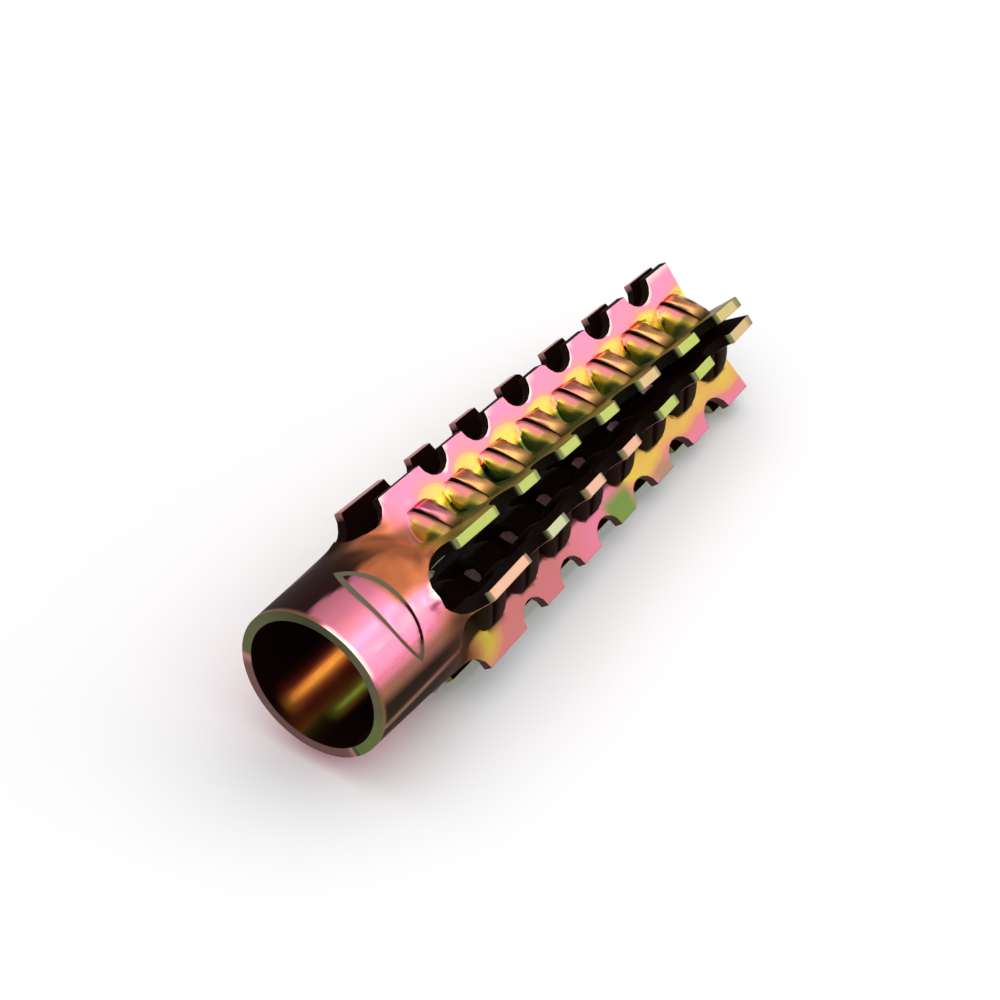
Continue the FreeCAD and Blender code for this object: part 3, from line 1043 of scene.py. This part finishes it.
# The cream end of the outer film's scale also serves the painted highlights.
FACE_STOPS = (
    (0.0, (1.0, 0.86, 0.62)),
    (0.12, (1.0, 0.55, 0.55)),
    (0.30, (1.0, 0.27, 0.42)),
    (0.46, (0.96, 0.30, 0.28)),
    (0.56, (0.98, 0.50, 0.16)),
    (0.66, (0.98, 0.72, 0.09)),
    (0.76, (0.50, 0.42, 0.05)),
    (0.84, (0.14, 0.20, 0.05)),
    (1.0, (0.10, 0.06, 0.015)),
)
INSIDE_STOPS = (
    (0.0, (0.35, 0.06, 0.02)),
    (0.45, (0.50, 0.07, 0.035)),
    (0.53, (0.85, 0.20, 0.04)),
    (0.60, (0.97, 0.36, 0.05)),
    (0.68, (0.60, 0.36, 0.05)),
    (0.78, (0.30, 0.34, 0.04)),
    (0.92, (0.20, 0.20, 0.03)),
)
RIM_STOPS = (
    (0.0, (0.71, 0.42, 0.28)),
    (0.12, (0.71, 0.42, 0.28)),
    (0.30, (0.46, 0.52, 0.13)),
    (0.36, (0.46, 0.52, 0.15)),
    (0.43, (0.50, 0.53, 0.31)),
    (0.56, (0.15, 0.21, 0.05)),
    (0.70, (0.14, 0.13, 0.065)),
    (0.82, (0.62, 0.26, 0.24)),
    (0.94, (0.19, 0.095, 0.085)),
)


@dataclass
class AnchorSleeve:
    """The dressed anchor, which stands for the solid of the same shape."""

    sheet: FoldedSheet = field(default_factory=FoldedSheet)
    faces: ChromateFilm = ChromateFilm("chromate_faces", FACE_STOPS, shows_mark=True)
    inside: ChromateFilm = ChromateFilm(
        "chromate_inside",
        INSIDE_STOPS,
        shade_colour=(0.010, 0.005, 0.004),
        roughness=0.28,
        relief=0.03,
        gloss=0.05,
        film_channel="inner_film",
        shade_channel="inner_shade",
    )
    edges: ChromateFilm = ChromateFilm(
        "sheared_edges",
        RIM_STOPS,
        shade_colour=(0.012, 0.007, 0.005),
        roughness=0.36,
        drift=0.03,
        film_channel="rim",
        shade_channel="rim_shade",
    )

    def make(self) -> bpy.types.Object:
        """Builds the sheet, dresses it and lets it stand for the solid."""
        plating = Plating(self.sheet.sizes, self.sheet.mark)
        piece = self.sheet.build(plating)
        for finish in (self.faces, self.inside, self.edges):
            piece.data.materials.append(finish.material())
        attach(piece, "root")
        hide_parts(NODE)
        return piece


@dataclass(frozen=True)
class Softbox:
    """A square soft lamp that faces the anchor, in metres and watts."""

    name: str
    place: Triple
    size: float
    power: float

    def make(self) -> None:
        """Builds the lamp."""
        light = bpy.data.lights.new(self.name, "AREA")
        light.shape = "SQUARE"
        light.size = self.size
        light.energy = self.power
        lamp = placed(self.name, light)
        lamp.location = self.place
        lamp.rotation_euler = Vector(self.place).to_track_quat("Z", "Y").to_euler()


@dataclass(frozen=True)
class Studio:
    """A plain pale floor under large soft lamps."""

    floor_size: float = 6.0
    floor_colour: Triple = (0.93, 0.93, 0.93)
    floor_roughness: float = 0.9
    floor_gloss: float = 0.1
    world_colour: Triple = (0.25, 0.25, 0.255)
    lamps: tuple[Softbox, ...] = (
        Softbox("front_softbox", (0.62, -0.70, 0.45), 0.8, 2.4),
        Softbox("top_softbox", (0.05, -0.05, 1.0), 2.05, 18.0),
    )

    def floor(self) -> None:
        """Builds the floor, a flat sheet at the height that the anchor lies on."""
        plate = bmesh.new()
        bmesh.ops.create_grid(plate, x_segments=1, y_segments=1, size=self.floor_size / 2.0)
        floor = placed("studio_floor", meshed("studio_floor", plate))
        bench = NodeBench("studio_floor")
        bench.shader.inputs["Base Color"].default_value = opaque(self.floor_colour)
        bench.shader.inputs["Roughness"].default_value = self.floor_roughness
        bench.shader.inputs["Specular IOR Level"].default_value = self.floor_gloss
        floor.data.materials.append(bench.material)

    def make(self) -> None:
        """Builds the floor, the lamps and the plain surroundings."""
        self.floor()
        for lamp in self.lamps:
            lamp.make()
        world = bpy.data.worlds.new("studio")
        world.use_nodes = True
        background = world.node_tree.nodes["Background"]
        background.inputs["Color"].default_value = opaque(self.world_colour)
        bpy.context.scene.world = world
        bpy.context.scene.view_settings.view_transform = "Standard"


@dataclass(frozen=True)
class Viewpoint:
    """The camera of the photograph, in degrees and metres, with its lens in millimetres."""

    target: Triple = (0.000031, 0.0, 0.005015)
    distance: float = 0.35587
    azimuth: float = -55.18
    elevation: float = 45.83
    roll: float = 0.84
    lens: float = 224.0
    sensor_width: float = 36.0
    shift: Pair = (-0.01042, 0.00069)
    clip_start: float = 0.01

    def make(self) -> None:
        """Builds the camera and makes it the scene's own."""
        turn, lift = math.radians(self.azimuth), math.radians(self.elevation)
        sideways, ahead = -math.sin(turn) * math.cos(lift), math.cos(turn) * math.cos(lift)
        look = Vector((sideways, ahead, -math.sin(lift)))
        level = look.cross(Vector((0.0, 0.0, 1.0))).normalized()
        upright = level.cross(look)
        roll = math.radians(self.roll)
        right = level * math.cos(roll) + upright * math.sin(roll)
        above = right.cross(look)
        lens = bpy.data.cameras.new("camera")
        lens.lens = self.lens
        lens.sensor_width = self.sensor_width
        lens.shift_x, lens.shift_y = self.shift
        lens.clip_start = self.clip_start
        camera = placed("camera", lens)
        turned = Matrix((right, above, -look)).transposed().to_4x4()
        place = Vector(self.target) - look * self.distance
        camera.matrix_world = Matrix.Translation(place) @ turned
        bpy.context.scene.camera = camera


def main() -> None:
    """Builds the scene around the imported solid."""
    logging.basicConfig(level=logging.INFO, format="%(message)s")
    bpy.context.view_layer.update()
    Viewpoint().make()
    piece = AnchorSleeve().make()
    LOG.info("%s: %d faces before its modifiers", piece.name, len(piece.data.polygons))
    Studio().make()


if __name__ == "__main__":
    main()
